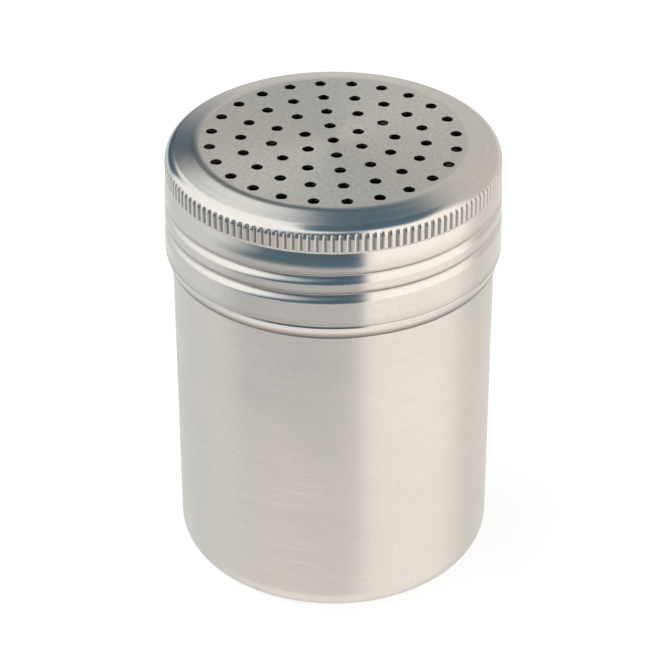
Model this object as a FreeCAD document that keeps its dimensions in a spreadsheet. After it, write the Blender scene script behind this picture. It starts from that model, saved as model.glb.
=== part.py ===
"""Stainless steel shaker: a deep-drawn cup with a rolled screw neck, and a perforated screw lid.

Both pieces are sheet metal turned about the Z axis. The origin is the middle of the cup's foot,
+Z is up and sizes are in millimetres. Angles about the axis count from +X towards +Y.
"""

import FreeCAD, Part
import os

import Sketcher

# Driving dimensions, in millimetres, degrees or plain counts.
DIMENSIONS = {
    # the cup
    "cup_radius": 33.27,
    "cup_height": 93.34,
    "cup_sheet": 0.45,
    "foot_bend": 5.0,
    "foot_ring": 3.6,
    "base_rise": 0.8,
    "neck_step": 0.82,
    # the lid
    "lid_height": 25.95,
    "lid_sheet": 0.5,
    "crown_width": 4.25,
    "crown_angle": 12.5,
    "crown_bend": 2.6,
    "knurl_overhang": 0.98,
    "knurl_drop": 6.1,
    "undercut_depth": 0.3,
    "undercut_step": 0.4,
    "undercut_ramp": 2.25,
    "skirt_overhang": 1.18,
    "hem_overhang": 1.43,
    "hem_height": 3.1,
    # how the two pieces meet
    "seat_gap": 0.25,
    "shoulder_drop": 0.3,
    "hem_gap": 0.2,
    "crest_gap": 0.3,
    # the rolled thread, right-handed, six turns to the inch
    "thread_pitch": 4.233,
    "thread_flank": 45.0,
    "thread_crest": 0.8,
    "thread_end": 3.0,
    "cup_thread_height": 0.7,
    "cup_thread_rise": 5.6,
    "cup_thread_drop": 8.4,
    "cup_thread_phase": 135.0,
    "lid_thread_rise": 8.4,
    "lid_thread_drop": 1.8,
    # the knurl and the sifting holes
    "flute_count": 136,
    "flute_width": 0.75,
    "flute_depth": 0.25,
    "flute_top_angle": 45.0,
    "hole_diameter": 2.4,
    "holes_in_first_ring": 6,
    "rim_margin": 2.32,
    "hole_phase": 36.2,
}
HOLE_RINGS = 4
FULL_TURN = 360

# Where the lid's ridge runs between two turns of the cup's ridge when the lid is on: half way.
MESH_SHARE = 0.5

# The slope of the short steps that are pressed into the cup's sheet, at its shoulder and its base panel.
STEP_SLOPE = 45

# The least volume that a feature has to add or remove, in cubic millimetres.
LEAST_CHANGE = 0.01

# Sizes that both pieces or several features share, as formulas of the cells. The lid's own heights count
# from the edge of its hem. The cup's shoulder lies just below that edge, and the lid's thread runs
# between the turns of the cup's.
NECK = "(dims.cup_radius - dims.neck_step)"
CUP_CREST = f"({NECK} + dims.cup_thread_height)"
FLANK_SHARE = "(1 / cos(dims.thread_flank) - tan(dims.thread_flank))"
KNURL = "(dims.cup_radius + dims.knurl_overhang)"
BEND_RADIUS = f"({KNURL} - dims.crown_bend)"
BEND_HEIGHT = (
    "(dims.lid_height - dims.crown_width * tan(dims.crown_angle)"
    " - dims.crown_bend / cos(dims.crown_angle))"
)
PLATE_RADIUS = f"({BEND_RADIUS} - dims.crown_width)"
UNDER_CROWN = f"({BEND_HEIGHT} + sqrt((dims.crown_bend - dims.lid_sheet)^2 - ({NECK} - {BEND_RADIUS})^2))"
UNDERCUT_HEIGHT = "(dims.lid_height - dims.knurl_drop - dims.undercut_step)"
SKIRT_HEIGHT = f"({UNDERCUT_HEIGHT} - dims.undercut_ramp)"
LID_SEAT = f"(dims.cup_height + dims.seat_gap - {UNDER_CROWN})"
SHOULDER = f"({LID_SEAT} - dims.shoulder_drop)"
CUP_THREAD_START = f"({SHOULDER} + dims.neck_step + dims.cup_thread_rise)"
CUP_THREAD_STOP = "(dims.cup_height - dims.cup_thread_drop)"
LID_THREAD_STOP = f"({SKIRT_HEIGHT} - dims.lid_thread_drop)"
LID_THREAD_PHASE = (
    f"(dims.cup_thread_phase + {FULL_TURN} * ({MESH_SHARE}"
    f" + ({LID_SEAT} + dims.lid_thread_rise - {CUP_THREAD_START}) / dims.thread_pitch))"
)

# How a sketch numbers its own origin, axes and a circle's centre.
ORIGIN = -1
VERTICAL_AXIS = -2
HORIZONTAL_AXIS = -1
CENTRE = 3


def make_sheet(document):
    """Put every driving dimension in a cell of its own, under its name."""
    sheet = document.addObject("Spreadsheet::Sheet", "dims")
    for row, (name, value) in enumerate(DIMENSIONS.items(), start=1):
        sheet.set(f"A{row}", name)
        sheet.set(f"B{row}", str(value))
        sheet.setAlias(f"B{row}", name)
    document.recompute()
    return sheet


def origin_part(body, role):
    """One of the planes or axes of a body's own origin."""
    return [part for part in body.Origin.OriginFeatures if part.Role == role][0]


def new_sketch(body, name, role, turn=None):
    """A sketch on one of the body's origin planes, or on that plane turned about the Z axis."""
    sketch = body.newObject("Sketcher::SketchObject", name)
    sketch.AttachmentSupport = (origin_part(body, role), [""])
    sketch.MapMode = "FlatFace"
    if turn:
        upright = FreeCAD.Vector(0, 1, 0)
        sketch.AttachmentOffset = FreeCAD.Placement(FreeCAD.Vector(), FreeCAD.Rotation(upright, 1))
        sketch.setExpression("AttachmentOffset.Rotation.Angle", turn)
    return sketch


def measure(item, formula):
    """The number that a formula of sheet cells gives."""
    value = item.evalExpression(formula)
    return float(getattr(value, "Value", value))


def bind(sketch, constraint, formula):
    """Add a dimensional constraint whose size is a formula of sheet cells."""
    index = sketch.addConstraint(constraint)
    sketch.setExpression(f"Constraints[{index}]", formula)


def end_near(sketch, edge, point):
    """Which end of an edge, 1 or 2, lies at a point."""
    return min((1, 2), key=lambda end: sketch.getPoint(edge, end).distanceToPoint(point))


def hold(sketch, edge, end, across, up):
    """Hold one end of an edge at its two distances from the origin, or on an axis where one is 0."""
    for kind, formula, axis in (("DistanceX", across, VERTICAL_AXIS), ("DistanceY", up, HORIZONTAL_AXIS)):
        size = measure(sketch, formula)
        if size == 0:
            sketch.addConstraint(Sketcher.Constraint("PointOnObject", edge, end, axis))
        else:
            bind(sketch, Sketcher.Constraint(kind, ORIGIN, 1, edge, end, size), formula)


def outline(sketch, corners):
    """Close a chain through corners (across, up[, radius]): straight to the next corner, or with a radius an
    arc that bulges to the left of the way along, or to its right where the radius starts with a minus."""
    points = [FreeCAD.Vector(measure(sketch, corner[0]), measure(sketch, corner[1]), 0) for corner in corners]
    edges = []
    for index, corner in enumerate(corners):
        start = points[index]
        stop = points[(index + 1) % len(points)]
        if len(corner) < 3:
            edges.append(sketch.addGeometry(Part.LineSegment(start, stop)))
            continue
        side = -1 if corner[2].startswith("-") else 1
        formula = corner[2].lstrip("-")
        radius = measure(sketch, formula)
        chord = stop - start
        left = FreeCAD.Vector(-chord.y, chord.x, 0).normalize()
        sagitta = radius - (radius ** 2 - chord.Length ** 2 / 4) ** 0.5
        middle = (start + stop) * 0.5 + left * side * sagitta
        edges.append(sketch.addGeometry(Part.Arc(start, middle, stop)))
        bind(sketch, Sketcher.Constraint("Radius", edges[-1], radius), formula)
    for index, corner in enumerate(corners):
        before, edge = edges[index - 1], edges[index]
        last, first = end_near(sketch, before, points[index]), end_near(sketch, edge, points[index])
        sketch.addConstraint(Sketcher.Constraint("Coincident", before, last, edge, first))
        hold(sketch, edge, first, corner[0], corner[1])


def revolve(body, name, corners):
    """Turn an outline in the XZ plane all the way round the Z axis."""
    sketch = new_sketch(body, name + "_outline", "XZ_Plane")
    outline(sketch, corners)
    turned = body.newObject("PartDesign::Revolution", name)
    turned.Profile = sketch
    turned.ReferenceAxis = (sketch, ["V_Axis"])
    turned.Angle = FULL_TURN


def thread(body, kind, name, corners, climb, phase):
    """Sweep an outline up a right-handed helix, adding to the body or cutting it."""
    sketch = new_sketch(body, name + "_outline", "XZ_Plane", turn=phase)
    outline(sketch, corners)
    body.Document.recompute()
    swept = body.newObject("PartDesign::" + kind, name)
    swept.Profile = sketch
    swept.ReferenceAxis = (sketch, ["V_Axis"])
    swept.Mode = "pitch-height-angle"
    swept.setExpression("Pitch", "dims.thread_pitch")
    swept.setExpression("Height", climb)


def trapezium(tip, half_width, foot, middle):
    """A thread's section: flat at the tip's radius, and widening along its flanks to the foot's radius."""
    spread = f"{half_width} + abs({foot} - ({tip})) * tan(dims.thread_flank)"
    return [
        (tip, f"{middle} - ({half_width})"),
        (foot, f"{middle} - ({spread})"),
        (foot, f"{middle} + ({spread})"),
        (tip, f"{middle} + ({half_width})"),
    ]


def rolled_thread(body, piece, ridge, groove, start, stop, phase):
    """Roll a thread into the sheet of one piece: a ridge on one face, with a groove behind it that stops
    short of the ridge at both ends, so that the wall stays closed there."""
    climb = f"{stop} - {start}"
    thread(body, "AdditiveHelix", piece + "_ridge", trapezium(*ridge, start), climb, phase)
    end = f"dims.thread_pitch * dims.thread_end / {FULL_TURN}"
    section = trapezium(*groove, f"{start} + {end}")
    shorter, later = f"{climb} - 2 * {end}", f"{phase} + dims.thread_end"
    thread(body, "SubtractiveHelix", piece + "_groove", section, shorter, later)


def repeat(body, feature, name, count):
    """Repeat a feature evenly round the Z axis."""
    pattern = body.newObject("PartDesign::PolarPattern", name)
    pattern.Originals = [feature]
    pattern.Axis = (origin_part(body, "Z_Axis"), [""])
    pattern.Angle = FULL_TURN
    pattern.setExpression("Occurrences", count)
    body.Tip = pattern


def make_cup(document):
    """The deep-drawn cup: a raised base panel in a flat foot ring, a straight wall, and a stepped-in neck
    whose rolled thread stands out of it and is hollow behind."""
    body = document.addObject("PartDesign::Body", "cup")
    inside = "dims.cup_radius - dims.cup_sheet"
    neck_inside = f"{NECK} - dims.cup_sheet"
    ring_outside = "dims.cup_radius - dims.foot_bend"
    ring_inside = f"{ring_outside} - dims.foot_ring"
    # where the sheet turns into a step, its two faces turn this far apart
    turn_shift = f"dims.cup_sheet * tan({STEP_SLOPE / 2})"
    revolve(body, "cup_shell", [
        ("0", "dims.base_rise"),
        (f"{ring_inside} - dims.base_rise", "dims.base_rise"),
        (ring_inside, "0"),
        (ring_outside, "0", "-dims.foot_bend"),
        ("dims.cup_radius", "dims.foot_bend"),
        ("dims.cup_radius", SHOULDER),
        (NECK, f"{SHOULDER} + dims.neck_step"),
        (NECK, "dims.cup_height"),
        (neck_inside, "dims.cup_height"),
        (neck_inside, f"{SHOULDER} + dims.neck_step - {turn_shift}"),
        (inside, f"{SHOULDER} - {turn_shift}"),
        (inside, "dims.foot_bend", "dims.foot_bend - dims.cup_sheet"),
        (ring_outside, "dims.cup_sheet"),
        (f"{ring_inside} + {turn_shift}", "dims.cup_sheet"),
        (f"{ring_inside} + {turn_shift} - dims.base_rise", "dims.base_rise + dims.cup_sheet"),
        ("0", "dims.base_rise + dims.cup_sheet"),
    ])
    ridge = (CUP_CREST, "dims.thread_crest / 2", f"{NECK} - dims.cup_sheet / 2")
    hollow = f"dims.thread_crest / 2 - dims.cup_sheet * {FLANK_SHARE}"
    groove = (f"{CUP_CREST} - dims.cup_sheet", hollow, f"{neck_inside} - dims.cup_sheet / 2")
    rolled_thread(body, "cup", ridge, groove, CUP_THREAD_START, CUP_THREAD_STOP, "dims.cup_thread_phase")
    return body


def make_lid(document):
    """The stamped lid: a flat perforated plate, a sloping crown with a round bend, a knurled band, an
    undercut, a threaded skirt and a hem drawn in to the cup."""
    body = document.addObject("PartDesign::Body", "lid")
    sheet = "dims.lid_sheet"
    top = "dims.lid_height"
    undercut = f"{KNURL} - dims.undercut_depth"
    skirt = "dims.cup_radius + dims.skirt_overhang"
    flare = "dims.cup_radius + dims.hem_overhang"
    hem = f"dims.cup_radius + dims.hem_gap + {sheet}"
    inner_bend = f"(dims.crown_bend - {sheet})"
    revolve(body, "lid_shell", [
        (f"{hem} - {sheet}", "0"),
        (hem, "0"),
        (flare, "dims.hem_height"),
        (skirt, SKIRT_HEIGHT),
        (undercut, UNDERCUT_HEIGHT),
        (KNURL, f"{top} - dims.knurl_drop"),
        (KNURL, BEND_HEIGHT, "-dims.crown_bend"),
        (f"{BEND_RADIUS} + dims.crown_bend * sin(dims.crown_angle)",
         f"{BEND_HEIGHT} + dims.crown_bend * cos(dims.crown_angle)"),
        (PLATE_RADIUS, top),
        ("0", top),
        ("0", f"{top} - {sheet}"),
        (f"{PLATE_RADIUS} - {sheet} * tan(dims.crown_angle / 2)", f"{top} - {sheet}"),
        (f"{BEND_RADIUS} + {inner_bend} * sin(dims.crown_angle)",
         f"{BEND_HEIGHT} + {inner_bend} * cos(dims.crown_angle)", inner_bend),
        (f"{KNURL} - {sheet}", BEND_HEIGHT),
        (f"{KNURL} - {sheet}", f"{top} - dims.knurl_drop"),
        (f"{undercut} - {sheet}", UNDERCUT_HEIGHT),
        (f"{skirt} - {sheet}", SKIRT_HEIGHT),
        (f"{flare} - {sheet}", "dims.hem_height"),
    ])
    crest = f"{CUP_CREST} + dims.crest_gap"
    ridge = (crest, f"dims.thread_crest / 2 + {sheet} * {FLANK_SHARE}", f"{skirt} - {sheet} / 2")
    groove = (f"{crest} + {sheet}", "dims.thread_crest / 2", f"{flare} + {sheet}")
    rolled_thread(body, "lid", ridge, groove, "dims.lid_thread_rise", LID_THREAD_STOP, LID_THREAD_PHASE)
    sifting_holes(body)
    knurl_flutes(body)
    body.setExpression("Placement.Base.z", LID_SEAT)
    return body


def sifting_holes(body):
    """One hole in the middle of the plate, and rings round it with all their first holes on one ray. The
    outermost ring keeps its distance from the plate's rim."""
    for ring in range(HOLE_RINGS + 1):
        sketch = new_sketch(body, f"hole_{ring}_outline", "XY_Plane")
        away = f"({PLATE_RADIUS} - dims.rim_margin) * {ring / HOLE_RINGS}"
        across, up = f"{away} * cos(dims.hole_phase)", f"{away} * sin(dims.hole_phase)"
        centre = FreeCAD.Vector(measure(sketch, across), measure(sketch, up), 0)
        radius = measure(sketch, "dims.hole_diameter / 2")
        circle = sketch.addGeometry(Part.Circle(centre, FreeCAD.Vector(0, 0, 1), radius))
        hold(sketch, circle, CENTRE, across, up)
        bind(sketch, Sketcher.Constraint("Radius", circle, radius), "dims.hole_diameter / 2")
        hole = body.newObject("PartDesign::Pocket", f"hole_{ring}")
        hole.Profile = sketch
        hole.Type = "ThroughAll"
        hole.Reversed = True
        if ring:
            repeat(body, hole, f"hole_ring_{ring}", f"{ring} * dims.holes_in_first_ring")


def knurl_flutes(body):
    """Flutes of one depth that follow the crown's bend and run down to the undercut."""
    sketch = new_sketch(body, "flute_outline", "XZ_Plane")
    floor = "(dims.crown_bend - dims.flute_depth)"
    clear = "(dims.crown_bend + dims.flute_width)"
    bottom = "dims.lid_height - dims.knurl_drop - dims.flute_depth"
    along, upward = "cos(dims.flute_top_angle)", "sin(dims.flute_top_angle)"
    outline(sketch, [
        (f"{BEND_RADIUS} + {floor}", bottom),
        (f"{BEND_RADIUS} + {clear}", bottom),
        (f"{BEND_RADIUS} + {clear}", f"{BEND_HEIGHT} + {clear} * {upward}"),
        (f"{BEND_RADIUS} + {clear} * {along}", f"{BEND_HEIGHT} + {clear} * {upward}"),
        (f"{BEND_RADIUS} + {floor} * {along}", f"{BEND_HEIGHT} + {floor} * {upward}", floor),
        (f"{BEND_RADIUS} + {floor}", BEND_HEIGHT),
    ])
    flute = body.newObject("PartDesign::Pocket", "flute")
    flute.Profile = sketch
    flute.SideType = "Symmetric"
    flute.setExpression("Length", "dims.flute_width")
    repeat(body, flute, "knurl", "dims.flute_count")


def check(document, bodies):
    """Stop at a failed object, a feature that changed nothing, or a piece that isn't one valid solid."""
    for item in document.Objects:
        if "Invalid" in item.State or "Error" in item.State:
            raise RuntimeError(f"{item.Label} failed: {item.State}")
    for body in bodies:
        for feature in body.Group:
            base = getattr(feature, "BaseFeature", None)
            if base and abs(feature.Shape.Volume - base.Shape.Volume) < LEAST_CHANGE:
                raise RuntimeError(f"{feature.Label} changed nothing")
        shape = body.Shape
        if shape.isNull() or not shape.isValid() or len(shape.Solids) != 1:
            raise RuntimeError(f"{body.Label} isn't one valid solid")


def main():
    """Build both pieces in one document and write each to its own file."""
    document = FreeCAD.newDocument("shaker")
    make_sheet(document)
    bodies = [make_cup(document), make_lid(document)]
    document.recompute()
    check(document, bodies)
    os.makedirs("parts", exist_ok=True)
    for body in bodies:
        body.Shape.exportStep(f"parts/{body.Label}.step")
        print(body.Label, round(body.Shape.Volume), "mm3,", len(body.Shape.Faces), "faces")


main()
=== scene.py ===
"""Stainless steel shaker: fine sheet-metal meshes for the cup and the lid, satin steel, and a pale studio."""

import math

import bpy
import numpy as np
from mathutils import Matrix, Vector
from mathutils.geometry import delaunay_2d_cdt

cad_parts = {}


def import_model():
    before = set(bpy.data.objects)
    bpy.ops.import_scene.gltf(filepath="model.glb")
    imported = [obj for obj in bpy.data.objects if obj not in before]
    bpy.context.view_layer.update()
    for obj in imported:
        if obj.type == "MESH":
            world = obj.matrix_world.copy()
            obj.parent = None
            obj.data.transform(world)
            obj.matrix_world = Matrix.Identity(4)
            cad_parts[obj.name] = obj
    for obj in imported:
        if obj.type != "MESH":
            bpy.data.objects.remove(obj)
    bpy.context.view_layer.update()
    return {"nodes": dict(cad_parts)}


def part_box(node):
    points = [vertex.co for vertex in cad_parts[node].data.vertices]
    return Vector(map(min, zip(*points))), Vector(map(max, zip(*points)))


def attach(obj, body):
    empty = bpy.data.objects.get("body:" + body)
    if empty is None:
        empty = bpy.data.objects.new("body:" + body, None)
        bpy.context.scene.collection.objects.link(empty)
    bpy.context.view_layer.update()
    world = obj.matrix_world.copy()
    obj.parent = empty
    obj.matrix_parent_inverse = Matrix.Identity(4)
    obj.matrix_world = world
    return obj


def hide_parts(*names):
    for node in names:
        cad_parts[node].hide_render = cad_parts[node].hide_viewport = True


MM = 0.001

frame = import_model()


# ---------------------------------------------------------------- sizes, in millimetres

cup_low, cup_high = (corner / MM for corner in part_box("cup"))
lid_low, lid_high = (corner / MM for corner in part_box("lid"))

# the cup: a raised base in a flat ring, a round bend, the wall, and a neck with a rolled thread
CUP_RADIUS = 33.27
CUP_HEIGHT = cup_high.z
CUP_SHEET = 0.45
SHOULDER = lid_low.z - 0.3
NECK_STEP = 0.82
NECK = CUP_RADIUS - NECK_STEP
BASE_RISE = 0.8
FOOT_BEND = 5.0
FOOT_RING = 3.6
BASE_BEND = 0.8
NECK_BEND = 0.5
MOUTH_BEND = 0.16
BASE_MIDDLE = 1.5  # radius of the little ring that the base's middle is closed from
CUP_INSIDE_DULL_AND_SHADE = 0.75  # how dull the cup's inside is and how much painted shade darkens it, where 1 is as dull and dark as a crease

# the lid: plate, crown, knurled band, undercut, threaded skirt, and a hem drawn in towards the cup
HEM = lid_low.z
TOP = lid_high.z
LID_SHEET = 0.5
KNURL = CUP_RADIUS + 0.98
UNDERCUT = KNURL - 0.3
SKIRT = CUP_RADIUS + 1.18
FLARE = CUP_RADIUS + 1.43
HEM_RADIUS = CUP_RADIUS + 0.2 + LID_SHEET
KNURL_FOOT = TOP - 6.1
UNDERCUT_HEIGHT = KNURL_FOOT - 0.4
SKIRT_HEIGHT = UNDERCUT_HEIGHT - 2.25
HEM_HEIGHT = HEM + 3.1
CROWN_BEND = 2.6
CROWN_SLOPE = math.tan(math.radians(12.5))
PLATE_RADIUS = KNURL - CROWN_BEND - 4.25
CROWN_EDGE = PLATE_RADIUS + 0.55
CROWN_FOOT = TOP - (KNURL - CROWN_EDGE) * CROWN_SLOPE
CROWN_TURN = math.radians(90 - 12.5)
PLATE_RIM = 26.6  # radius where the profile's rows end and the perforated plate begins

# the threads: lowest and highest middle of the ridge, and where it starts, in degrees
PITCH = 4.233
CUP_CREST = NECK + 0.7
LID_CREST = CUP_CREST + 0.3
CUP_THREAD = (SHOULDER + NECK_STEP + 5.6, CUP_HEIGHT - 8.4, 135.0)
LID_THREAD_START = HEM + 8.4
LID_THREAD = (
    LID_THREAD_START,
    SKIRT_HEIGHT - 1.8,
    135.0 + 360.0 * (0.5 + (LID_THREAD_START - CUP_THREAD[0]) / PITCH),
)

# the knurl, and the lid's thread as a groove on the outside
FLUTES = 136
FLUTE_DEPTH = 0.28
FLUTE_HALF, FLUTE_EDGE = 0.18, 0.08  # shares of the flutes' pitch
GROOVE_DEPTH = 0.6
GROOVE_RAISE = 0.35
GROOVE_ABOVE, GROOVE_BELOW = 0.8, 1.75

# the pressed line over the hem, the hem's rolled edge, and the holes
CREASE = 0.12
HEM_ROLL = 0.42
HOLE_RADIUS = 1.2
HOLE_ROLL = 0.07
HOLE_BURR = 0.04
HOLE_SIDES = 28
HOLE_RINGS = 4
HOLE_PITCH = (PLATE_RADIUS - 2.32) / HOLE_RINGS
HOLE_PHASE = 36.2

# where columns stand within one flute, as shares of its pitch; every fourth one is also a coarse column
FLUTE_SHARES = (0.0, 0.14, 0.25, 0.36, 0.5, 0.64, 0.75, 0.86)
FINE = np.radians([(i + share) * 360.0 / FLUTES for i in range(FLUTES) for share in FLUTE_SHARES])
COARSE = FINE[::4]


# ---------------------------------------------------------------- profiles


def rotated(arrow, turn):
    """A vector turned by an angle, which is given as its cosine and sine."""
    return Vector((arrow.x * turn[0] - arrow.y * turn[1], arrow.x * turn[1] + arrow.y * turn[0]))


def profile(corners, spacing):
    """Rows along a chain of corners (across, up, bend radius): points and unit directions.

    spacing(point) is the distance to the next row on a straight run; bends get a row every few degrees."""
    points, directions = [], []
    corners = [(Vector((c[0], c[1])), c[2]) for c in corners]

    def add(point, direction):
        if points and (points[-1] - point).length < 1e-5:
            return
        points.append(point.copy())
        directions.append(direction.copy())

    here = corners[0][0]
    for i in range(1, len(corners)):
        corner, radius = corners[i]
        way = (corner - corners[i - 1][0]).normalized()
        last = i == len(corners) - 1
        if last:
            bend, out, cut = 0.0, way, 0.0
        else:
            out = (corners[i + 1][0] - corner).normalized()
            bend = math.atan2(way.x * out.y - way.y * out.x, way.dot(out))
            cut = radius * math.tan(abs(bend) / 2)
        stop = corner - way * cut
        add(here, way)
        while (stop - here).length > spacing(here) * 1.5:
            here = here + way * spacing(here)
            add(here, way)
        add(stop, way)
        if cut:
            side = Vector((-way.y, way.x)) * math.copysign(1, bend)
            centre = stop + side * radius
            steps = max(3, math.ceil(abs(math.degrees(bend)) / 11))
            for k in range(1, steps + 1):
                angle = bend * k / steps
                turn = (math.cos(angle), math.sin(angle))
                spoke = stop - centre
                add(centre + rotated(spoke, turn), rotated(way, turn))
            here = corner + out * cut
    return np.array([tuple(p) for p in points]), np.array([tuple(d) for d in directions])


def soft_min(a, b, softness):
    """The smaller of two values, with a smooth change between them."""
    return -softness * np.logaddexp(-a / softness, -b / softness)


def from_thread(height, azimuth, thread):
    """Distance along the axis from a rolled thread's middle, and how much of its depth is there."""
    start, stop, phase = thread
    along = np.mod(np.degrees(azimuth) - phase, 360.0)
    turn = np.floor((height - start) / PITCH - along / 360.0 + 0.5)
    turns = (stop - start) / PITCH
    turn = np.clip(turn, 0, np.floor(turns + 1))
    travelled = turn + along / 360.0
    past = np.clip(travelled, 0, turns)
    away = height - (start + past * PITCH)
    # the roller eases in and out over the first and last few degrees
    ease = 0.045
    depth = np.clip(np.minimum(travelled, turns - travelled) / ease, 0, 1)
    return away, depth * depth * (3 - 2 * depth)


def thread_face(height, azimuth, thread, radius, half_width, side):
    """Radius of the flat-bottomed, 45 degree trough (side +1) or ridge (side -1) of a rolled thread."""
    away, depth = from_thread(height, azimuth, thread)
    rise = 0.07 * np.logaddexp(0, (np.abs(away) - half_width) / 0.07)
    return radius + side * (rise + (1 - depth) * 1.5)


def lid_outside(across, up, azimuth):
    """The groove of the lid's thread: a short steep side above, and a long shallow one below."""
    away, depth = from_thread(up, azimuth, LID_THREAD)
    away = away - GROOVE_RAISE
    share = np.clip(np.where(away > 0, away / GROOVE_ABOVE, -away / GROOVE_BELOW), 0, 1)
    return -GROOVE_DEPTH * depth * (0.5 + 0.5 * np.cos(math.pi * share))


def lid_dull(across, up, azimuth):
    """How dull the lid's outside is, and where painted shade darkens it: in the creases over its thread,
    at the hem's pressed line and round its edge."""
    away, depth = from_thread(up, azimuth, LID_THREAD)
    thread = np.exp(-((away - GROOVE_RAISE - 0.45) / 0.5) ** 2) * depth * (1.25 - 0.6 * (up - HEM) / 15)
    line = 0.45 * np.exp(-((up - HEM_HEIGHT) / 0.2) ** 2)
    edge = np.clip((HEM + 0.85 - up) / 0.45, 0, 1)
    return np.maximum(np.maximum(thread, line), edge)


def lid_inside(across, up, azimuth):
    """The ridge that the lid's groove makes on its inside."""
    face = thread_face(up, azimuth, LID_THREAD, LID_CREST, 0.6, 1)
    band = (up > HEM_HEIGHT + 0.6) & (up < SKIRT_HEIGHT + 1)
    return np.where(band, across - soft_min(across, face, 0.05), 0.0)


def cup_outside(across, up, azimuth):
    """The ridge of the cup's thread."""
    face = thread_face(up, azimuth, CUP_THREAD, CUP_CREST, 0.4, -1)
    band = (up > SHOULDER + 2) & (up < CUP_HEIGHT - 2)
    return np.where(band, -soft_min(-across, -face, 0.05) - across, 0.0)


def cup_inside(across, up, azimuth):
    """The groove that the cup's thread makes on its inside."""
    face = thread_face(up, azimuth, CUP_THREAD, CUP_CREST - CUP_SHEET, 0.21, -1)
    band = (up > SHOULDER + 2) & (up < CUP_HEIGHT - 2)
    return np.where(band, across + soft_min(-across, -face, 0.05), 0.0)


def cup_depth_dull(across, up, azimuth):
    """The cup's inside is duller, and darker with painted shade, the deeper it lies."""
    return CUP_INSIDE_DULL_AND_SHADE * np.clip((CUP_HEIGHT - 2 - up) / 8, 0, 1) + 0 * azimuth


def knurl(across, up, azimuth):
    """Depth of the flutes, along the face's own direction: full on the band, fading out round the bend."""
    share = np.mod(np.degrees(azimuth) * FLUTES / 360.0, 1.0)
    away = np.minimum(share, 1 - share)
    groove = 0.5 - 0.5 * np.tanh((away - FLUTE_HALF) / FLUTE_EDGE)
    bend_foot = CROWN_FOOT - CROWN_BEND * math.tan(CROWN_TURN / 2)
    over, beyond = np.maximum(up - bend_foot, 0), np.maximum(across - (KNURL - CROWN_BEND), 1e-6)
    angle = np.degrees(np.arctan2(over, beyond))
    top = np.clip((27 - angle) / 10, 0, 1)
    foot = np.clip((across - UNDERCUT) / (KNURL - UNDERCUT), 0, 1)
    foot = np.where(up < KNURL_FOOT + 0.3, foot, 1.0)
    return -FLUTE_DEPTH * groove * top * top * (3 - 2 * top) * foot


def knurl_dull(across, up, azimuth):
    """The bottoms of the flutes are dull and darkened with painted shade, most of all at their ends."""
    ends = np.clip((up - (KNURL_FOOT + 2.9)) / 0.6, 0, 1)
    return np.clip(-knurl(across, up, azimuth) / FLUTE_DEPTH, 0, 1) ** 1.3 * (0.85 + 0.15 * ends)


def flat(across, up, azimuth):
    """Nothing pressed in, nothing dull and no painted shade."""
    return np.zeros_like(across + azimuth)


# ---------------------------------------------------------------- meshes


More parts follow.
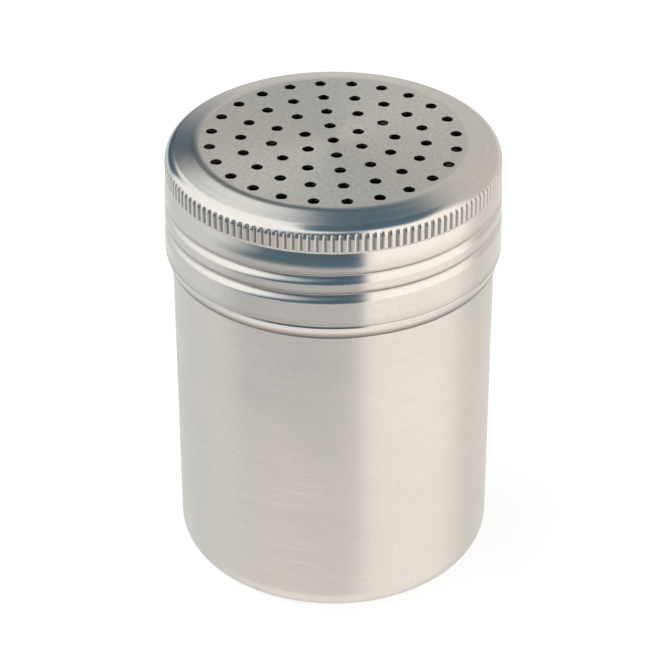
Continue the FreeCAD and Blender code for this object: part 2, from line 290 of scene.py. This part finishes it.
class Sheet:
    """Points, their directions and faces of one piece of sheet metal, in millimetres."""

    def __init__(self):
        self.points, self.normals, self.dull, self.faces = [], [], [], []

    def add(self, points, normals, dull=None):
        """Add points, and give back their numbers."""
        first = len(self.points)
        self.points.extend(map(tuple, points))
        self.normals.extend(map(tuple, normals))
        self.dull.extend([0.0] * len(points) if dull is None else dull)
        return list(range(first, len(self.points)))

    def ring(self, point, direction, azimuths, push, dull):
        """One level row of points, pushed along the profile's own normal."""
        step = 0.01
        facing = np.array((direction[1], -direction[0]))

        def pushed(along, turn):
            base = point + direction * along
            return push(np.full_like(azimuths, base[0]), np.full_like(azimuths, base[1]), azimuths + turn)

        out = pushed(0, 0)
        slope = (pushed(step, 0) - pushed(-step, 0)) / (2 * step)
        turn = step / max(point[0], 1)
        twist = (pushed(0, turn) - pushed(0, -turn)) / (2 * step)
        across, up = point[0] + facing[0] * out, point[1] + facing[1] * out
        cos, sin = np.cos(azimuths), np.sin(azimuths)
        radial = facing[0] - slope * direction[0]
        upward = facing[1] - slope * direction[1]
        normals = np.stack([radial * cos + twist * sin, radial * sin - twist * cos, upward], -1)
        normals /= np.linalg.norm(normals, axis=1)[:, None]
        shade = dull(np.full_like(azimuths, point[0]), np.full_like(azimuths, point[1]), azimuths)
        return self.add(np.stack([across * cos, across * sin, up], -1), normals, shade)

    def join(self, a, b):
        """Faces between two rows, one of which may have a whole number of times the other's points."""
        if len(a) == len(b):
            for i in range(len(a)):
                j = (i + 1) % len(a)
                self.faces.append((a[i], a[j], b[j], b[i]))
            return
        fine, coarse, turned = (a, b, False) if len(a) > len(b) else (b, a, True)
        times = len(fine) // len(coarse)
        for i in range(len(coarse)):
            n = (i + 1) % len(coarse)
            run = [fine[(i * times + k) % len(fine)] for k in range(times + 1)]
            half = times // 2
            faces = [(run[k], run[k + 1], coarse[i]) for k in range(half)]
            faces.append((run[half], coarse[n], coarse[i]))
            faces += [(run[k], run[k + 1], coarse[n]) for k in range(half, times)]
            self.faces.extend(face[::-1] if turned else face for face in faces)

    def cap(self, ring, height, up):
        """Close a small ring at the axis."""
        middle = self.add([(0, 0, height)], [(0, 0, up)])[0]
        for i in range(len(ring)):
            self.faces.append((ring[i], ring[(i + 1) % len(ring)], middle))

    def rows(self, points, directions, push, azimuths, dull=lambda i: flat):
        """Rows in order along a profile, joined; push, azimuths and the dullness with its painted shade take
        the row's number.
        """
        first, last = None, None
        for i, (point, direction) in enumerate(zip(points, directions)):
            ring = self.ring(point, direction, azimuths(i), push(i), dull(i))
            if last is not None:
                self.join(last, ring)
            first = first or ring
            last = ring
        return first, last

    def object(self, name):
        """The sheet as an object, in metres."""
        mesh = bpy.data.meshes.new(name)
        mesh.from_pydata((np.array(self.points) * MM).tolist(), [], self.faces)
        mesh.update()
        mesh.shade_smooth()
        mesh.normals_split_custom_set_from_vertices(self.normals)
        # the attribute that makes the steel rougher and paints shade into its colour
        mesh.attributes.new("dull", "FLOAT", "POINT").data.foreach_set("value", self.dull)
        piece = bpy.data.objects.new(name, mesh)
        bpy.context.scene.collection.objects.link(piece)
        return piece


def make_cup():
    """One sheet from the base's underside up the outside, over the mouth and down the inside."""
    sheet = Sheet()
    inner = NECK - CUP_SHEET
    outer_ring = CUP_RADIUS - FOOT_BEND
    inner_ring = outer_ring - FOOT_RING
    shift = CUP_SHEET * math.tan(math.radians(22.5))
    corners = [
        (BASE_MIDDLE, BASE_RISE, 0),
        (inner_ring - BASE_RISE, BASE_RISE, BASE_BEND),
        (inner_ring, 0, BASE_BEND),
        (CUP_RADIUS, 0, FOOT_BEND),
        (CUP_RADIUS, SHOULDER, NECK_BEND),
        (NECK, SHOULDER + NECK_STEP, NECK_BEND),
        (NECK, CUP_HEIGHT, MOUTH_BEND),
        (inner, CUP_HEIGHT, MOUTH_BEND),
        (inner, SHOULDER + NECK_STEP - shift, NECK_BEND),
        (CUP_RADIUS - CUP_SHEET, SHOULDER - shift, NECK_BEND),
        (CUP_RADIUS - CUP_SHEET, CUP_SHEET, FOOT_BEND - CUP_SHEET),
        (inner_ring + shift, CUP_SHEET, BASE_BEND),
        (inner_ring + shift - BASE_RISE, BASE_RISE + CUP_SHEET, BASE_BEND),
        (BASE_MIDDLE, BASE_RISE + CUP_SHEET, 0),
    ]

    def spacing(point):
        threaded = CUP_THREAD[0] - 2 < point.y < CUP_THREAD[1] + 2
        return 0.16 if threaded and point.x > inner - 0.1 else 3.0

    points, directions = profile(corners, spacing)
    up = directions[:, 1] > 0

    def push(i):
        if CUP_THREAD[0] - 3 < points[i][1] < CUP_THREAD[1] + 3:
            return cup_outside if up[i] else cup_inside
        return flat

    mouth = np.argmax(points[:, 1])
    first, last = sheet.rows(points, directions, push, lambda i: COARSE,
                             lambda i: cup_depth_dull if i > mouth else flat)
    sheet.cap(first[::-1], BASE_RISE, -1)
    sheet.cap(last, BASE_RISE + CUP_SHEET, 1)
    return sheet.object("cup_drawn")


def hole_centres():
    """One hole in the middle, and rings of 6, 12, 18 and 24 round it."""
    for ring in range(HOLE_RINGS + 1):
        count = max(1, 6 * ring)
        for k in range(count):
            angle = math.radians(HOLE_PHASE + k * 360.0 / count)
            yield Vector((math.cos(angle), math.sin(angle))) * ring * HOLE_PITCH


def plate_face(sheet, rim, mouths, height, up):
    """A flat face between the rim and the mouths of the holes."""
    loops = [rim] + mouths
    verts = [Vector(sheet.points[i][:2]) for loop in loops for i in loop]
    numbers = [i for loop in loops for i in loop]
    edges, at = [], 0
    for loop in loops:
        edges += [(at + k, at + (k + 1) % len(loop)) for k in range(len(loop))]
        at += len(loop)
    placed, _, faces, sources, _, _ = delaunay_2d_cdt(verts, edges, [], 0, 1e-9)
    centres = list(hole_centres())
    number = [numbers[source[0]] if source else None for source in sources]
    for face in faces:
        middle = sum((placed[k] for k in face), Vector((0, 0))) / len(face)
        if any((middle - c).length < HOLE_RADIUS * 0.97 for c in centres):
            continue
        if any(number[k] is None for k in face):
            raise RuntimeError("the plate's triangulation added a point")
        corners = [number[k] for k in face]
        sheet.faces.append(tuple(corners if up > 0 else corners[::-1]))


def make_lid():
    """One sheet from under the plate down the inside, round the hem and up the outside, and between
    its two ends the plate with its holes."""
    sheet = Sheet()
    inside_bend = CROWN_EDGE - LID_SHEET * math.tan(math.radians(6.25))
    inner_knurl = KNURL - LID_SHEET
    under = TOP - LID_SHEET
    corners = [
        (PLATE_RIM, under, 0),
        (inside_bend, under, 3.5),
        (inner_knurl, under - (inner_knurl - inside_bend) * CROWN_SLOPE, CROWN_BEND - LID_SHEET),
        (inner_knurl, KNURL_FOOT, 0.3),
        (UNDERCUT - LID_SHEET, UNDERCUT_HEIGHT, 0.3),
        (SKIRT - LID_SHEET, SKIRT_HEIGHT, 0.6),
        (FLARE - LID_SHEET, HEM_HEIGHT, 0.9),
        (HEM_RADIUS - LID_SHEET, HEM, 0.07),
        (HEM_RADIUS, HEM, HEM_ROLL),
        (FLARE, HEM_HEIGHT - 0.42, 0.35),
        (FLARE - CREASE, HEM_HEIGHT, 0.08),
        (FLARE, HEM_HEIGHT + 0.16, 0.1),
        (SKIRT, SKIRT_HEIGHT, 11.0),
        (UNDERCUT, UNDERCUT_HEIGHT, 0.25),
        (KNURL, KNURL_FOOT, 0.14),
        (KNURL, CROWN_FOOT, CROWN_BEND),
        (CROWN_EDGE, TOP, 8.2),
        (PLATE_RIM, TOP, 0),
    ]
    knurl_low, knurl_high = UNDERCUT_HEIGHT + 0.05, KNURL_FOOT + 4.8

    def spacing(point):
        if LID_THREAD[0] - 1.4 < point.y < LID_THREAD[1] + 1.4 and point.x > SKIRT - 1:
            return 0.13 if point.x > SKIRT - 0.2 else 0.2
        if KNURL_FOOT < point.y < knurl_high and point.x > KNURL - 0.1:
            return 0.5
        return 1.5

    points, directions = profile(corners, spacing)
    outer = np.zeros(len(points), bool)
    outer[np.argmin(points[:, 1]):] = True

    def fluted(i):
        return outer[i] and knurl_low < points[i][1] < knurl_high and points[i][0] > KNURL - 2.4

    def push(i):
        if fluted(i):
            return knurl
        if LID_THREAD[0] - 2 < points[i][1] < LID_THREAD[1] + 2:
            return lid_outside if outer[i] else lid_inside
        return flat

    # how dull each row is, and how much painted shade darkens it
    def dull(i):
        return knurl_dull if fluted(i) else lid_dull if outer[i] and points[i][1] < SKIRT_HEIGHT else flat

    low, high = sheet.rows(points, directions, push, lambda i: FINE if fluted(i) else COARSE, dull)

    # the holes: a rounded edge on top, a smaller one below
    ring = np.radians(np.arange(0, 360, 360 / HOLE_SIDES))
    cos, sin = np.cos(ring), np.sin(ring)
    tops, bottoms = [], []
    for centre in hole_centres():

        def circle(radius, height, tilt):
            level, rise = math.cos(tilt), math.sin(tilt)
            x, y = centre.x + radius * cos, centre.y + radius * sin
            places = np.stack([x, y, np.full_like(cos, height)], -1)
            return sheet.add(places, np.stack([-cos * level, -sin * level, np.full_like(cos, rise)], -1))

        rows = []
        for k in range(5):
            tilt = math.radians(90 - 22.5 * k)
            rows.append(circle(HOLE_RADIUS + HOLE_ROLL * (1 - math.cos(tilt)),
                               TOP - HOLE_ROLL * (1 - math.sin(tilt)), tilt))
        for k in range(3):
            tilt = math.radians(-45 * k)
            rows.append(circle(HOLE_RADIUS + HOLE_BURR * (1 - math.cos(tilt)),
                               under + HOLE_BURR * (1 + math.sin(tilt)), tilt))
        for above, below in zip(rows, rows[1:]):
            sheet.join(above, below)
        tops.append(rows[0])
        bottoms.append(rows[-1])
    plate_face(sheet, high, tops, TOP, 1)
    plate_face(sheet, low, bottoms, under, -1)
    return sheet.object("lid_stamped")


# ---------------------------------------------------------------- steel

# how fine the steel's patterns are: noise scales for coordinates in metres
FINE_LINES, SOFT_LINES, BROAD_LINES = 5200.0, 2400.0, 900.0
RELIEF_GRAIN, COLOUR_GRAIN, PLATE_GRAIN = 1900.0, 1100.0, 1500.0
PATCHES, CLOUDS = 120.0, 34.0
LINE_SQUEEZE = 0.035  # how little the lines change round the axis


def steel(name, colour, roughness, build):
    """Satin stainless steel; build(tree, shader) adds the finish and links it to the shader."""
    material = bpy.data.materials.new(name)
    material.use_nodes = True
    tree = material.node_tree
    shader = tree.nodes["Principled BSDF"]
    shader.inputs["Metallic"].default_value = 1.0
    shader.inputs["Base Color"].default_value = (*colour, 1)
    shader.inputs["Roughness"].default_value = roughness
    build(tree, shader)
    return material


def node(tree, kind, settings=None, **inputs):
    """Add a node, set its properties, and link or set its inputs: i0, i1 are numbered inputs, and
    underscores in a name stand for spaces."""
    new = tree.nodes.new(kind)
    for key, value in (settings or {}).items():
        setattr(new, key, value)
    for key, value in inputs.items():
        numbered = key[0] == "i" and key[1:].isdigit()
        socket = new.inputs[int(key[1:]) if numbered else key.replace("_", " ")]
        if isinstance(value, bpy.types.NodeSocket):
            tree.links.new(value, socket)
        else:
            socket.default_value = value
    return new


def maths(tree, operation, a, b):
    """One operation on two values, each of them a number or a socket."""
    return node(tree, "ShaderNodeMath", {"operation": operation}, i0=a, i1=b).outputs[0]


def blend(tree, share, a, b):
    """Colour a, going over to colour b as share goes from 0 to 1."""
    mix = node(tree, "ShaderNodeMix", {"data_type": "RGBA"}, i0=share)
    for socket, value in ((mix.inputs[6], a), (mix.inputs[7], b)):
        if isinstance(value, bpy.types.NodeSocket):
            tree.links.new(value, socket)
        else:
            socket.default_value = (*value, 1)
    return mix.outputs[2]


def noise(tree, place, scale, detail, roughness):
    return node(tree, "ShaderNodeTexNoise",
                Vector=place, Scale=scale, Detail=detail, Roughness=roughness).outputs[0]


def between(tree, value, low, high, to_low, to_high):
    """to_low where value is low or less, to_high where it is high or more, and a straight ramp between."""
    return node(tree, "ShaderNodeMapRange", {"clamp": True}, Value=value, From_Min=low, From_Max=high,
                To_Min=to_low, To_Max=to_high).outputs[0]


def round_the_axis(tree):
    """The place on the piece, its x, y and z, and its distance from the axis, in metres."""
    place = node(tree, "ShaderNodeTexCoord").outputs["Object"]
    split = node(tree, "ShaderNodeSeparateXYZ", Vector=place).outputs
    radius = node(tree, "ShaderNodeVectorMath", {"operation": "LENGTH"},
                  i0=node(tree, "ShaderNodeCombineXYZ", X=split[0], Y=split[1]).outputs[0]).outputs["Value"]
    return place, split, radius


def brushed(tree, place, split, radius, scale):
    """Fine lines that run round the axis: noise that changes along the profile and hardly round it."""
    level = node(tree, "ShaderNodeCombineXYZ",
                 X=maths(tree, "MULTIPLY", split[0], LINE_SQUEEZE),
                 Y=maths(tree, "MULTIPLY", split[1], LINE_SQUEEZE),
                 Z=maths(tree, "ADD", split[2], radius)).outputs[0]
    return noise(tree, level, scale, 4.0, 0.62)


def finish(tree, shader, anisotropy, lines, mottle, base, tint, warm, dark):
    """Satin steel: base, tint and warm drift into each other, dark gives the fine lines and the grain,
    lines is the lines' strength, and mottle is the grain's share of the relief. The perforated plate
    is duller."""
    place, split, radius = round_the_axis(tree)
    stroke = brushed(tree, place, split, radius, FINE_LINES)
    broad = brushed(tree, place, split, radius, BROAD_LINES)
    cloud = noise(tree, place, CLOUDS, 3.0, 0.55)
    grain = noise(tree, place, RELIEF_GRAIN, 2.0, 0.6)

    # colour: clouds, lines, warm patches, grain, the speckled plate, and painted shade that darkens creases,
    # the flutes' bottoms, the hem's edge and the cup's deep inside
    colour = blend(tree, between(tree, cloud, 0.35, 0.68, 0.0, 1.0), base, tint)
    streak = between(tree, maths(tree, "MULTIPLY", broad, stroke), 0.12, 0.4, 0.0, 1.0)
    colour = blend(tree, maths(tree, "MULTIPLY", maths(tree, "SUBTRACT", 1.0, streak), lines), colour, dark)
    patch = between(tree, noise(tree, place, PATCHES, 2.0, 0.5), 0.36, 0.64, 0.0, 1.0)
    colour = blend(tree, maths(tree, "MULTIPLY", patch, 0.55), colour, warm)
    fine = between(tree, brushed(tree, place, split, radius, SOFT_LINES), 0.3, 0.7, 0.0, 0.16)
    specks = between(tree, noise(tree, place, COLOUR_GRAIN, 2.0, 0.6), 0.35, 0.65, 0.0, 0.16)
    colour = blend(tree, maths(tree, "ADD", fine, specks), colour, dark)
    plate = maths(tree, "MULTIPLY", between(tree, split[2], (TOP - 0.1) * MM, (TOP - 0.02) * MM, 0, 1),
                  between(tree, radius, (PLATE_RADIUS - 0.6) * MM, PLATE_RADIUS * MM, 1, 0))
    speckle = blend(tree, between(tree, noise(tree, place, PLATE_GRAIN, 3.0, 0.7), 0.36, 0.64, 0.0, 1.0),
                    (0.60, 0.58, 0.53), (0.76, 0.72, 0.67))
    colour = blend(tree, maths(tree, "MULTIPLY", plate, 0.9), colour, speckle)
    # painted shade: the mesh attribute blends the colour towards near black in creases, the flutes' bottoms,
    # round the hem's edge and deep inside the cup
    dull = node(tree, "ShaderNodeAttribute",
                {"attribute_type": "GEOMETRY", "attribute_name": "dull"}).outputs["Fac"]
    colour = blend(tree, maths(tree, "MULTIPLY", dull, 0.85), colour, (0.070, 0.064, 0.062))
    tree.links.new(colour, shader.inputs["Base Color"])

    # roughness: it varies with the lines and the clouds, and is higher in creases and on the plate
    rough = shader.inputs["Roughness"].default_value
    varied = maths(tree, "ADD", maths(tree, "MULTIPLY", maths(tree, "SUBTRACT", broad, 0.5), 0.16),
                   maths(tree, "MULTIPLY", maths(tree, "SUBTRACT", cloud, 0.5), 0.12))
    varied = maths(tree, "ADD", varied, maths(tree, "MULTIPLY", dull, 0.15))
    varied = maths(tree, "ADD", varied, maths(tree, "MULTIPLY", plate, 0.28))
    tree.links.new(maths(tree, "ADD", rough, varied), shader.inputs["Roughness"])

    # relief, and the stretched highlights of steel brushed round its axis
    height = maths(tree, "ADD",
                   maths(tree, "MULTIPLY", stroke, 1.0 - mottle), maths(tree, "MULTIPLY", grain, mottle))
    bump = node(tree, "ShaderNodeBump", Strength=0.10, Distance=0.00002, Height=height)
    tree.links.new(bump.outputs[0], shader.inputs["Normal"])
    shader.inputs["Anisotropic"].default_value = anisotropy
    shader.inputs["Anisotropic Rotation"].default_value = 0.25
    tangent = node(tree, "ShaderNodeTangent", {"direction_type": "RADIAL", "axis": "Z"})
    tree.links.new(tangent.outputs[0], shader.inputs["Tangent"])


cup_steel = steel("cup_satin_steel", (0.62, 0.59, 0.55), 0.30,
                  lambda tree, shader: finish(tree, shader, anisotropy=0.25, lines=0.12, mottle=0.55,
                                              base=(0.675, 0.645, 0.603), tint=(0.632, 0.618, 0.597),
                                              warm=(0.675, 0.635, 0.615), dark=(0.50, 0.48, 0.46)))
lid_steel = steel("lid_satin_steel", (0.62, 0.59, 0.55), 0.20,
                  lambda tree, shader: finish(tree, shader, anisotropy=0.4, lines=0.12, mottle=0.45,
                                              base=(0.668, 0.642, 0.606), tint=(0.628, 0.612, 0.597),
                                              warm=(0.668, 0.632, 0.612), dark=(0.50, 0.48, 0.46)))


# ---------------------------------------------------------------- pieces

cup = make_cup()
cup.data.materials.append(cup_steel)
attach(cup, "cup")
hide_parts("cup")

lid = make_lid()
lid.data.materials.append(lid_steel)
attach(lid, "lid")
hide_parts("lid")

# the replaced CAD nodes have the same steel
for name, material in (("cup", cup_steel), ("lid", lid_steel)):
    slots = frame["nodes"][name].data.materials
    slots.clear()
    slots.append(material)


# ---------------------------------------------------------------- studio

WHITE = (1, 1, 1, 1)


def world():
    """A pale room, given by direction: x to the right, y to the back, z up. It has a dark wall in front,
    a dark ceiling and corner at the back, and wide lamps on the left and the right. It lights the
    shaker and shows in its reflections; the camera sees plain white instead."""
    room = bpy.data.worlds.new("room")
    bpy.context.scene.world = room
    room.use_nodes = True
    tree = room.node_tree
    for old in list(tree.nodes):
        tree.nodes.remove(old)
    direction = node(tree, "ShaderNodeTexCoord").outputs["Generated"]
    x, y, z = node(tree, "ShaderNodeSeparateXYZ", Vector=direction).outputs

    def total(*terms):
        """The sum of value times factor, which is 0 on a plane through the middle."""
        out = maths(tree, "MULTIPLY", *terms[0])
        for value, factor in terms[1:]:
            out = maths(tree, "ADD", out, maths(tree, "MULTIPLY", value, factor))
        return out

    def step(value, middle, soft):
        """1 where value is over middle, 0 where it is under, and a ramp of twice soft between."""
        return between(tree, value, middle - soft, middle + soft, 0, 1)

    def both(*shares):
        """1 where every share is 1."""
        out = shares[0]
        for share in shares[1:]:
            out = maths(tree, "MULTIPLY", out, share)
        return out

    back = maths(tree, "MAXIMUM", y, 0.0)
    right = maths(tree, "MAXIMUM", x, 0.0)
    of_right = step(total((x, 0.94), (y, 0.342)), 0, 0.035)

    # the dark wall in front ends sharply on the right, softly on the left and towards the table; its left
    # part is a little paler about the horizon
    wall = both(step(total((x, 0.436), (y, -0.627), (z, -0.645)), 0.03, 0.2),
                maths(tree, "SUBTRACT", 1.0, of_right), step(total((z, -1)), -0.64, 0.05),
                between(tree, z, -0.57, -0.40, 0, 1))
    pale = both(step(z, -0.3, 0.25), step(total((z, -1)), -0.22, 0.15), step(total((x, -1)), -0.12, 0.2))
    # the dark ceiling reaches down at the back, deepest in tone on the left, where a dark corner joins it
    ceiling_left = maths(tree, "MAXIMUM",
                         total((x, 1), (y, -0.197), (z, 0.2)), total((x, 1), (y, 0.602), (z, -0.327)))
    ceiling_right = maths(tree, "MINIMUM",
                          total((x, 1), (y, 0.67), (z, -0.87)), total((x, 1), (y, 0.507), (z, -0.726)))
    ceiling = both(step(ceiling_left, 0.01, 0.03), step(total((ceiling_right, -1)), 0, 0.05),
                   step(total((z, 1), (back, 0.6), (right, 0.19)), 0.78, 0.03), step(z, 0.35, 0.09))
    deep = both(step(total((x, -1)), 0.02, 0.04), step(y, 0.66, 0.06))
    corner = both(step(total((x, 1), (y, 1.24)), 0, 0.03), step(total((x, -1)), 0.20, 0.08),
                  step(z, 0.0, 0.1), step(total((z, -1)), -0.48, 0.04))

    # the wide lamp on the right, and the pale rest of the room: below the horizon, behind, and above
    lamp_right = both(of_right, step(total((x, 0.12), (y, -1)), 0, 0.12), step(total((z, -1)), -0.70, 0.05))
    lamp_colour = blend(tree, step(z, -0.3, 0.15), (1.30, 1.24, 1.15), (1.55, 1.50, 1.40))
    table = blend(tree, between(tree, x, -0.95, -0.6, 0, 1), (0.95, 0.97, 0.94), (1.20, 1.13, 1.06))
    behind = blend(tree, between(tree, x, -0.3, 0.2, 0, 1), (0.86, 0.88, 0.86), (0.96, 0.93, 0.87))
    table = blend(tree, step(y, 0.15, 0.2), table, behind)
    upper = blend(tree, between(tree, y, -0.2, 0.6, 0, 1), (1.42, 1.42, 1.38), (1.32, 1.34, 1.30))
    upper = blend(tree, step(x, 0.0, 0.1), upper, (0.80, 0.76, 0.70))
    upper = blend(tree, step(y, 0.85, 0.06), upper, (0.74, 0.72, 0.69))
    colour = blend(tree, step(z, -0.05, 0.15), table, upper)
    colour = blend(tree, lamp_right, colour, lamp_colour)
    colour = blend(tree, wall, colour, blend(tree, pale, (0.085, 0.165, 0.23), (0.115, 0.195, 0.25)))
    colour = blend(tree, ceiling, colour, blend(tree, deep, (0.10, 0.18, 0.24), (0.025, 0.045, 0.06)))
    colour = blend(tree, corner, colour, (0.06, 0.135, 0.19))

    rays = node(tree, "ShaderNodeLightPath").outputs
    seen = maths(tree, "MAXIMUM", rays["Is Camera Ray"], rays["Is Transmission Ray"])
    lit = node(tree, "ShaderNodeBackground", Color=colour, Strength=1.0).outputs[0]
    plain = node(tree, "ShaderNodeBackground", Color=WHITE, Strength=1.0).outputs[0]
    mix = node(tree, "ShaderNodeMixShader", i0=seen, i1=lit, i2=plain).outputs[0]
    tree.links.new(mix, node(tree, "ShaderNodeOutputWorld").inputs["Surface"])


def floor():
    """Plain white paper under the shaker, which keeps its shadow."""
    mesh = bpy.data.meshes.new("floor")
    side = 3.0  # metres, half the width
    under = -0.00003  # a hair below the foot, so that the two never show through each other
    mesh.from_pydata([(x, y, under) for x, y in ((-side, -side), (side, -side), (side, side), (-side, side))],
                     [], [(0, 1, 2, 3)])
    piece = bpy.data.objects.new("floor", mesh)
    bpy.context.scene.collection.objects.link(piece)
    paper = bpy.data.materials.new("white_paper")
    paper.use_nodes = True
    tree = paper.node_tree
    shader = tree.nodes["Principled BSDF"]
    shader.inputs["Base Color"].default_value = (0.5, 0.5, 0.5, 1)
    shader.inputs["Roughness"].default_value = 0.9
    shader.inputs["Specular IOR Level"].default_value = 0.0
    # the camera sees the grey paper lighter than it is lit, so that it is white and keeps the shadow
    seen = node(tree, "ShaderNodeLightPath").outputs["Is Camera Ray"]
    shader.inputs["Emission Color"].default_value = WHITE
    tree.links.new(maths(tree, "MULTIPLY", seen, 0.7), shader.inputs["Emission Strength"])
    # from below the paper is clear, so that the underside of the shaker can be seen
    below = node(tree, "ShaderNodeNewGeometry").outputs["Backfacing"]
    clear = node(tree, "ShaderNodeBsdfTransparent").outputs[0]
    mix = node(tree, "ShaderNodeMixShader", i0=below, i1=shader.outputs[0], i2=clear).outputs[0]
    tree.links.new(mix, tree.nodes["Material Output"].inputs["Surface"])
    mesh.materials.append(paper)
    # the steel reflects the room, not the paper
    piece.visible_glossy = False


world()
floor()


# ---------------------------------------------------------------- camera

camera = bpy.data.objects.new("camera", bpy.data.cameras.new("camera"))
bpy.context.scene.collection.objects.link(camera)
PAN, TILT, ROLL = 0.22, 32.48, -0.14  # in degrees: to the left, down, and about the line of sight
aim = Matrix.Rotation(math.radians(PAN), 3, "Z") @ Matrix.Rotation(math.radians(90 - TILT), 3, "X")
camera.location = (0.0, -0.46155, 0.34475)
camera.rotation_euler = (aim @ Matrix.Rotation(math.radians(ROLL), 3, "Z")).to_euler()
camera.data.sensor_width = 36
camera.data.lens = 143.37
camera.data.clip_start = 0.01
bpy.context.scene.camera = camera
bpy.context.scene.view_settings.view_transform = "Standard"
